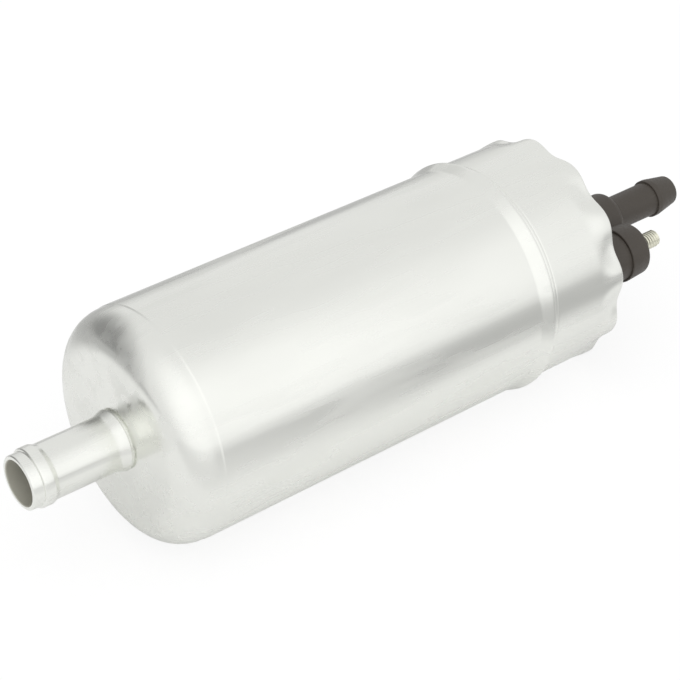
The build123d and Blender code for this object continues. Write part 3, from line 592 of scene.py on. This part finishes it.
class PUMP_OT_can(bpy.types.Operator):
    """Turn the can with its spigot, shoulder and bead, and crimp its rim"""

    bl_idname = "pump.can"
    bl_label = "Can"

    def execute(self, context):
        size = context.scene.pump_can
        face_x = MOUTH_X + size.spigot_length
        inner, rear_inner = WALL_RADIUS - size.wall, WALL_RADIUS - size.rear_wall
        front_inside = face_x + size.front_wall
        root, root_step = size.spigot + 0.8 * MM, 0.45 * MM
        tip = size.spigot - 0.1 * MM
        crest = WALL_RADIUS + size.bead
        crease_x = face_x + size.shoulder  # a faint line where the shoulder meets the wall
        line_x = SEAT_END + 4.85 * MM  # a faint line behind the bead
        outline = rounded([
            (MOUTH_X, size.spigot_bore, 0.3 * MM),
            (MOUTH_X, tip, 0.35 * MM),
            (MOUTH_X + 2.35 * MM, tip, 0.15 * MM),
            (MOUTH_X + 2.45 * MM, HOSE_BEAD_RADIUS, 0.35 * MM),
            (MOUTH_X + 4.7 * MM, HOSE_BEAD_RADIUS, 0.7 * MM),
            (MOUTH_X + 5.8 * MM, size.spigot, 0.7 * MM),
            (face_x - 2.6 * MM, size.spigot, 4.0 * MM),
            (face_x - 0.55 * MM, root, 0.2 * MM),
            (face_x - 0.35 * MM, root - root_step, 0.08 * MM),
            (face_x, root - root_step, 0.1 * MM),
            (face_x, WALL_RADIUS - 0.5 * MM, size.shoulder - 0.4 * MM),
            (crease_x + 0.2 * MM, WALL_RADIUS - 0.14 * MM, 0.4 * MM),
            (crease_x + 0.6 * MM, WALL_RADIUS, 0.3 * MM),
            (SEAT_END, WALL_RADIUS, 2.0 * MM),
            (SEAT_END + 2.7 * MM, crest, 0.9 * MM),
            (SEAT_END + 3.3 * MM, crest, 0.25 * MM),
            (SEAT_END + 3.6 * MM, WALL_RADIUS - 0.2 * MM, 0.2 * MM),
            (SEAT_END + 4.2 * MM, WALL_RADIUS, 0.4 * MM),
            (line_x - 0.15 * MM, WALL_RADIUS, 0.1 * MM),
            (line_x, WALL_RADIUS - 0.08 * MM, 0.1 * MM),
            (line_x + 0.15 * MM, WALL_RADIUS, 0.1 * MM),
            (RIM_X, WALL_RADIUS, 0.35 * MM),
            (RIM_X, rear_inner, 0.3 * MM),
            (STEP_X, rear_inner, 0.2 * MM),
            (STEP_X, inner, 0.2 * MM),
            (front_inside, inner, size.shoulder - size.wall),
            (front_inside, size.spigot_bore, 0.3 * MM),
        ])
        start = RIM_X - size.crimp_length
        outline = stepped(outline, start, RIM_X, 0.45 * MM)
        mesh = bmesh.new()
        turn(mesh, outline, size.crimps * 24)
        piece = finish_mesh(mesh, "can_shell")
        material = drawn_aluminium(context.scene.pump_colours)
        apply_tree(piece, crimp_tree(material), {
            "Crimps": size.crimps, "First crimp": size.crimp_turn, "Start": start,
            "Length": size.crimp_length, "Depth": size.crimp_depth, "Rise": size.crimp_rise,
            "Scallop": size.scallop,
        })
        place(piece, ["housing_can"], material, "can_aluminium")
        return {"FINISHED"}


class PUMP_OT_end_cap(bpy.types.Operator):
    """Turn the end cap with its tower, nozzle and terminal posts"""

    bl_idname = "pump.end_cap"
    bl_label = "End cap"

    def execute(self, context):
        size = context.scene.pump_cap
        can = context.scene.pump_can
        face_x = RIM_X - size.face
        rim_x = face_x + size.rim
        tower_end = face_x + size.tower_height
        barb_x = tower_end + size.barb_reach
        chamber_end = face_x + size.chamber_height
        seat = WALL_RADIUS - can.rear_wall - 0.15 * MM
        stack = WALL_RADIUS - can.wall - 0.2 * MM
        holder_rear = STEP_X + size.holder_place
        cavity_end = holder_rear + size.cavity_depth
        groove_end, groove_floor = holder_rear + size.groove_width, seat - size.groove_depth
        body = rounded([
            (CAP_FRONT, size.skirt_inside, 0), (CAP_FRONT, stack, 0.3 * MM), (STEP_X, stack, 0),
            (STEP_X, seat, 0.2 * MM), (holder_rear, seat, 0.1 * MM), (holder_rear, groove_floor, 0),
            (groove_end, groove_floor, 0), (groove_end, seat, 0.1 * MM),
            (rim_x - size.edge_run, seat, 1.0 * MM), (rim_x, seat - size.edge_drop, 0.4 * MM),
            (rim_x, size.rim_inside, 0.4 * MM), (face_x, size.rim_inside, 0.5 * MM),
            (face_x, size.tower, 0.6 * MM), (tower_end, size.tower, 1.8 * MM),
            (tower_end, size.nozzle, 0.4 * MM), (barb_x, size.nozzle, 0.1 * MM),
            (barb_x, BARB_RADIUS, 0.2 * MM), (barb_x + size.barb_land, BARB_RADIUS, 0.6 * MM),
            (NOZZLE_END, size.nozzle_tip, 0.6 * MM), (NOZZLE_END, size.nozzle_bore, 0.25 * MM),
            (chamber_end, size.nozzle_bore, 0), (chamber_end, size.chamber, 0),
            (cavity_end, size.chamber, 0), (cavity_end, size.cavity, 0), (holder_rear, size.cavity, 0),
            (holder_rear, size.skirt_inside, 0),
        ])
        mesh = bmesh.new()
        turn(mesh, body, 128)
        post_face = face_x + size.post_height
        head_x = post_face - size.post_head_length
        post = rounded([
            (face_x - MM, 0, 0), (face_x - MM, size.post_neck, 0), (head_x, size.post_neck, 0.15 * MM),
            (head_x, size.post_head, 0.3 * MM), (post_face, size.post_head - 0.35 * MM, 0.9 * MM),
            (post_face, STUD_RADIUS + 0.05 * MM, 0.15 * MM), (post_face - MM, STUD_RADIUS + 0.05 * MM, 0),
            (post_face - MM, 0, 0),
        ])
        web_root = (size.tower + size.chamber) / 2  # in the middle of the tower's wall
        for side in (-1, 1):
            turn(mesh, post, 96, centre=(side * POST_Y, 0.0))
            web = bmesh.ops.create_cube(mesh, size=1.0)["verts"]
            reach = (size.web_height + MM, POST_Y - web_root, size.web)
            for vert in web:
                vert.co = Vector(scale * along for scale, along in zip(reach, vert.co))
                vert.co.x += face_x - MM + reach[0] / 2
                vert.co.y += side * (POST_Y + web_root) / 2
        piece = finish_mesh(mesh, "cap_moulding")
        place(piece, ["end_cap"], moulded_plastic(context.scene.pump_colours), "cap_plastic")
        return {"FINISHED"}


class PUMP_OT_studs(bpy.types.Operator):
    """Cut the threads of both terminal studs"""

    bl_idname = "pump.studs"
    bl_label = "Terminal studs"

    def execute(self, context):
        size = context.scene.pump_stud
        material = plated_steel(context.scene.pump_colours)
        tree = thread_tree(material)
        cap = context.scene.pump_cap
        flange_end = CAP_FRONT + size.flange_place
        flange_x = flange_end - size.flange_length
        post_face = RIM_X - cap.face + cap.post_height
        shank_end = post_face - size.shank_inset
        outline = rounded([
            (STUD_FRONT, 0, 0), (STUD_FRONT, size.pin, 0), (flange_x, size.pin, 0),
            (flange_x, size.flange, 0.2 * MM), (flange_end, size.flange, 0), (flange_end, size.shank, 0),
            (shank_end, size.shank, 0), (shank_end, STUD_RADIUS, 0),
            (STUD_TIP, STUD_RADIUS, 0.55 * MM), (STUD_TIP, 0, 0),
        ])
        outline = stepped(outline, post_face - MM, STUD_TIP, size.pitch / 9)
        for side, name in ((-1, "left"), (1, "right")):
            mesh = bmesh.new()
            turn(mesh, outline, 36, centre=(side * POST_Y, 0.0))
            piece = finish_mesh(mesh, f"stud_{name}", sharp=50)
            apply_tree(piece, tree, {
                "Axis Y": side * POST_Y, "Radius": STUD_RADIUS, "Pitch": size.pitch, "Depth": size.depth,
                "Start": post_face - MM,
            })
            place(piece, [f"terminal_stud_{name}"], material, "plated_steel")
        return {"FINISHED"}


class PUMP_OT_springs(bpy.types.Operator):
    """Wind the springs of both valves and both brushes, each as long as its part's box"""

    bl_idname = "pump.springs"
    bl_label = "Springs"

    def execute(self, context):
        size = context.scene.pump_spring
        slot = next(s for s in frame["record"]["materials"] if s["slot"] == "spring_steel")
        material = inner_material(slot)
        tree = spring_tree(material)
        for name, joint, along, held_low in (
            ("relief_valve_spring", "relief_valve_lift", 0, True),
            ("check_valve_spring", "check_valve_lift", 0, False),
            ("brush_spring_left", "brush_left_slide", 1, True),
            ("brush_spring_right", "brush_right_slide", 1, False),
        ):
            low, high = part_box(name)
            extent = high - low
            piece = finish_mesh(bmesh.new(), f"{name}_coil")
            turn_to = (0.0, math.pi / 2, 0.0) if along == 0 else (math.pi / 2, 0.0, 0.0)
            apply_tree(piece, tree, {
                "Turns": size.turns, "Wire": size.wire, "Height": extent[along] - 2 * size.wire,
                "Radius": extent.z / 2 - size.wire, "Centre": (low + high) / 2, "Turn": turn_to,
            })
            place(piece, [name], material, "spring_steel")
            axis, anchor = Vector(), (low + high) / 2
            axis[along] = 1.0
            anchor[along] = low[along] if held_low else high[along]
            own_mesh(piece)
        return {"FINISHED"}


class PUMP_OT_inner_finishes(bpy.types.Operator):
    """Give every piece inside the can its finish"""

    bl_idname = "pump.inner_finishes"
    bl_label = "Inner finishes"

    def execute(self, context):
        record = frame["record"]
        slots = {slot["slot"]: slot for slot in record["materials"]}
        made = {}
        for part in record["subparts"]:
            name = part["material_slot"]
            if name not in made:
                made[name] = bpy.data.materials.get(name) or inner_material(slots[name])
            node = frame["nodes"][part["node"]]
            node.data.materials.clear()
            node.data.materials.append(made[name])
        return {"FINISHED"}


class PUMP_OT_stage(bpy.types.Operator):
    """Set out the floor, the light and the camera"""

    bl_idname = "pump.stage"
    bl_label = "Stage"

    def execute(self, context):
        settings = context.scene.pump_stage
        scene = context.scene
        self.lay_floor(settings)
        self.light(scene, settings)
        self.set_camera(scene)
        scene.view_settings.view_transform = "Standard"
        return {"FINISHED"}

    def lay_floor(self, settings):
        """A pale floor that keeps a soft shadow, and looks darker in gloss on both sides."""
        size, height = 6.0, CAD_BOX[0][2]
        data = bpy.data.meshes.new("floor")
        data.from_pydata(
            [(x * size, y * size, height) for x, y in ((-1, -1), (1, -1), (1, 1), (-1, 1))], [], [(0, 1, 2, 3)]
        )
        floor = bpy.data.objects.new("floor", data)
        bpy.context.scene.collection.objects.link(floor)
        material = bpy.data.materials.new("floor")
        material.use_nodes = True
        tree = Tree(material.node_tree)
        nodes = material.node_tree.nodes
        nodes.remove(nodes["Principled BSDF"])
        path = tree.add("ShaderNodeLightPath").outputs
        axes = tree.add("ShaderNodeSeparateXYZ", {0: tree.add("ShaderNodeTexCoord").outputs["Object"]}).outputs
        band = tree.math(
            "MULTIPLY", tree.ramp(axes["Y"], -45 * MM, -80 * MM), tree.ramp(axes["Y"], -600 * MM, -100 * MM)
        )
        rear = tree.ramp(axes["X"], -50 * MM, 90 * MM, 0.15, settings.near_shade)
        far = tree.ramp(axes["Y"], 60 * MM, 170 * MM, 0.0, settings.far_shade)
        dim = tree.math("MULTIPLY", tree.math("MULTIPLY_ADD", band, rear, far), path["Is Glossy Ray"])
        shade = tree.add("ShaderNodeMix", {
            "Factor": dim, "A": (*settings.floor, 1.0), "B": (0, 0, 0, 1),
        }, data_type="RGBA")
        matt = tree.add("ShaderNodeBsdfDiffuse", {"Color": shade.outputs["Result"]})
        glow = tree.add("ShaderNodeEmission", {"Color": (1, 1, 1, 1), "Strength": 1.05})
        seen = tree.math("MAXIMUM", path["Is Camera Ray"], path["Is Transmission Ray"])
        glossy = tree.math("MULTIPLY", path["Is Glossy Ray"], 0.1)
        share = tree.math("MAXIMUM", tree.math("MULTIPLY", seen, 0.8), glossy)
        mix = tree.add("ShaderNodeMixShader", {0: share, 1: matt.outputs[0], 2: glow.outputs[0]})
        tree.tree.links.new(mix.outputs[0], nodes["Material Output"].inputs["Surface"])
        material.cycles.emission_sampling = "NONE"
        data.materials.append(material)

    def light(self, scene, settings):
        """A pale dome, brighter on its near side and darker on its far side, and one wide lamp."""
        world = scene.world or bpy.data.worlds.new("studio")
        scene.world = world
        world.use_nodes = True
        tree = Tree(world.node_tree)
        way = tree.add("ShaderNodeTexCoord").outputs["Generated"]
        strength = settings.dome
        for azimuth, elevation, edge, change in (
            (-105.0, 28.0, 0.28, settings.bright_side), (118.0, 8.0, 0.6, -settings.dark_side),
        ):
            turned, raised = math.radians(azimuth), math.radians(elevation)
            aim = (
                math.cos(raised) * math.cos(turned), math.cos(raised) * math.sin(turned), math.sin(raised),
            )
            facing = tree.add("ShaderNodeVectorMath", {0: way, 1: aim}, operation="DOT_PRODUCT")
            strength = tree.math("ADD", strength, tree.ramp(facing.outputs["Value"], edge, 1.0, 0.0, change))
        path = tree.add("ShaderNodeLightPath").outputs
        seen = tree.math("MAXIMUM", path["Is Camera Ray"], path["Is Transmission Ray"])
        level = tree.add("ShaderNodeMix", {"Factor": seen, "A": strength, "B": 1.0}).outputs["Result"]
        back = world.node_tree.nodes["Background"]
        back.inputs["Color"].default_value = (1, 1, 1, 1)
        tree.tree.links.new(level, back.inputs["Strength"])
        lamp = bpy.data.lights.new("key", "AREA")
        lamp.size = 0.6
        lamp.energy = settings.key_power
        key = bpy.data.objects.new("key", lamp)
        key.location = (-0.15, -0.25, 0.55)
        key.rotation_euler = key.location.to_track_quat("Z", "Y").to_euler()
        key.visible_glossy = False
        scene.collection.objects.link(key)

    def set_camera(self, scene):
        """The photograph's point of view, worked out from the can's outline and its ends."""
        data = bpy.data.cameras.new("camera")
        data.sensor_width, data.lens = 36.0, 113.74
        data.clip_end = 50.0
        camera = bpy.data.objects.new("camera", data)
        place = (-0.229992, -0.298296, 0.264813)
        azimuth, elevation = math.radians(-38.477), math.radians(34.856)
        back = Vector((
            math.sin(azimuth) * math.cos(elevation),
            -math.cos(azimuth) * math.cos(elevation),
            math.sin(elevation),
        ))
        camera.location = place
        camera.rotation_euler = back.to_track_quat("Z", "Y").to_euler()
        scene.collection.objects.link(camera)
        scene.camera = camera


class PUMP_PT_panel(bpy.types.Panel):
    """The pump's steps, in the order in which they run"""

    bl_label = "Fuel pump"
    bl_idname = "PUMP_PT_panel"
    bl_space_type = "VIEW_3D"
    bl_region_type = "UI"
    bl_category = "Fuel pump"

    def draw(self, context):
        for group in GROUPS:
            box = self.layout.box()
            settings = getattr(context.scene, group)
            for name in settings.bl_rna.properties.keys():
                if name not in ("name", "rna_type"):
                    box.prop(settings, name)
        for step in STEPS:
            self.layout.operator(step.bl_idname)


GROUPS = {
    "pump_can": PumpCanSizes,
    "pump_cap": PumpCapSizes,
    "pump_stud": PumpStudSizes,
    "pump_spring": PumpSpringSizes,
    "pump_colours": PumpColours,
    "pump_stage": PumpStage,
}
STEPS = (
    PUMP_OT_can, PUMP_OT_end_cap, PUMP_OT_studs, PUMP_OT_springs, PUMP_OT_inner_finishes, PUMP_OT_stage,
)


def register():
    """Registers the classes and hangs the settings on the scene."""
    for cls in (*GROUPS.values(), *STEPS, PUMP_PT_panel):
        bpy.utils.register_class(cls)
    for name, cls in GROUPS.items():
        setattr(bpy.types.Scene, name, bpy.props.PointerProperty(type=cls))


def unregister():
    """Undoes register."""
    for name in GROUPS:
        delattr(bpy.types.Scene, name)
    for cls in (PUMP_PT_panel, *reversed(STEPS), *reversed(GROUPS.values())):
        bpy.utils.unregister_class(cls)


def main():
    """Builds everything in order."""
    register()
    bpy.ops.pump.can()
    bpy.ops.pump.end_cap()
    bpy.ops.pump.studs()
    bpy.ops.pump.springs()
    bpy.ops.pump.inner_finishes()
    bpy.ops.pump.stage()


if __name__ == "__main__":
    main()
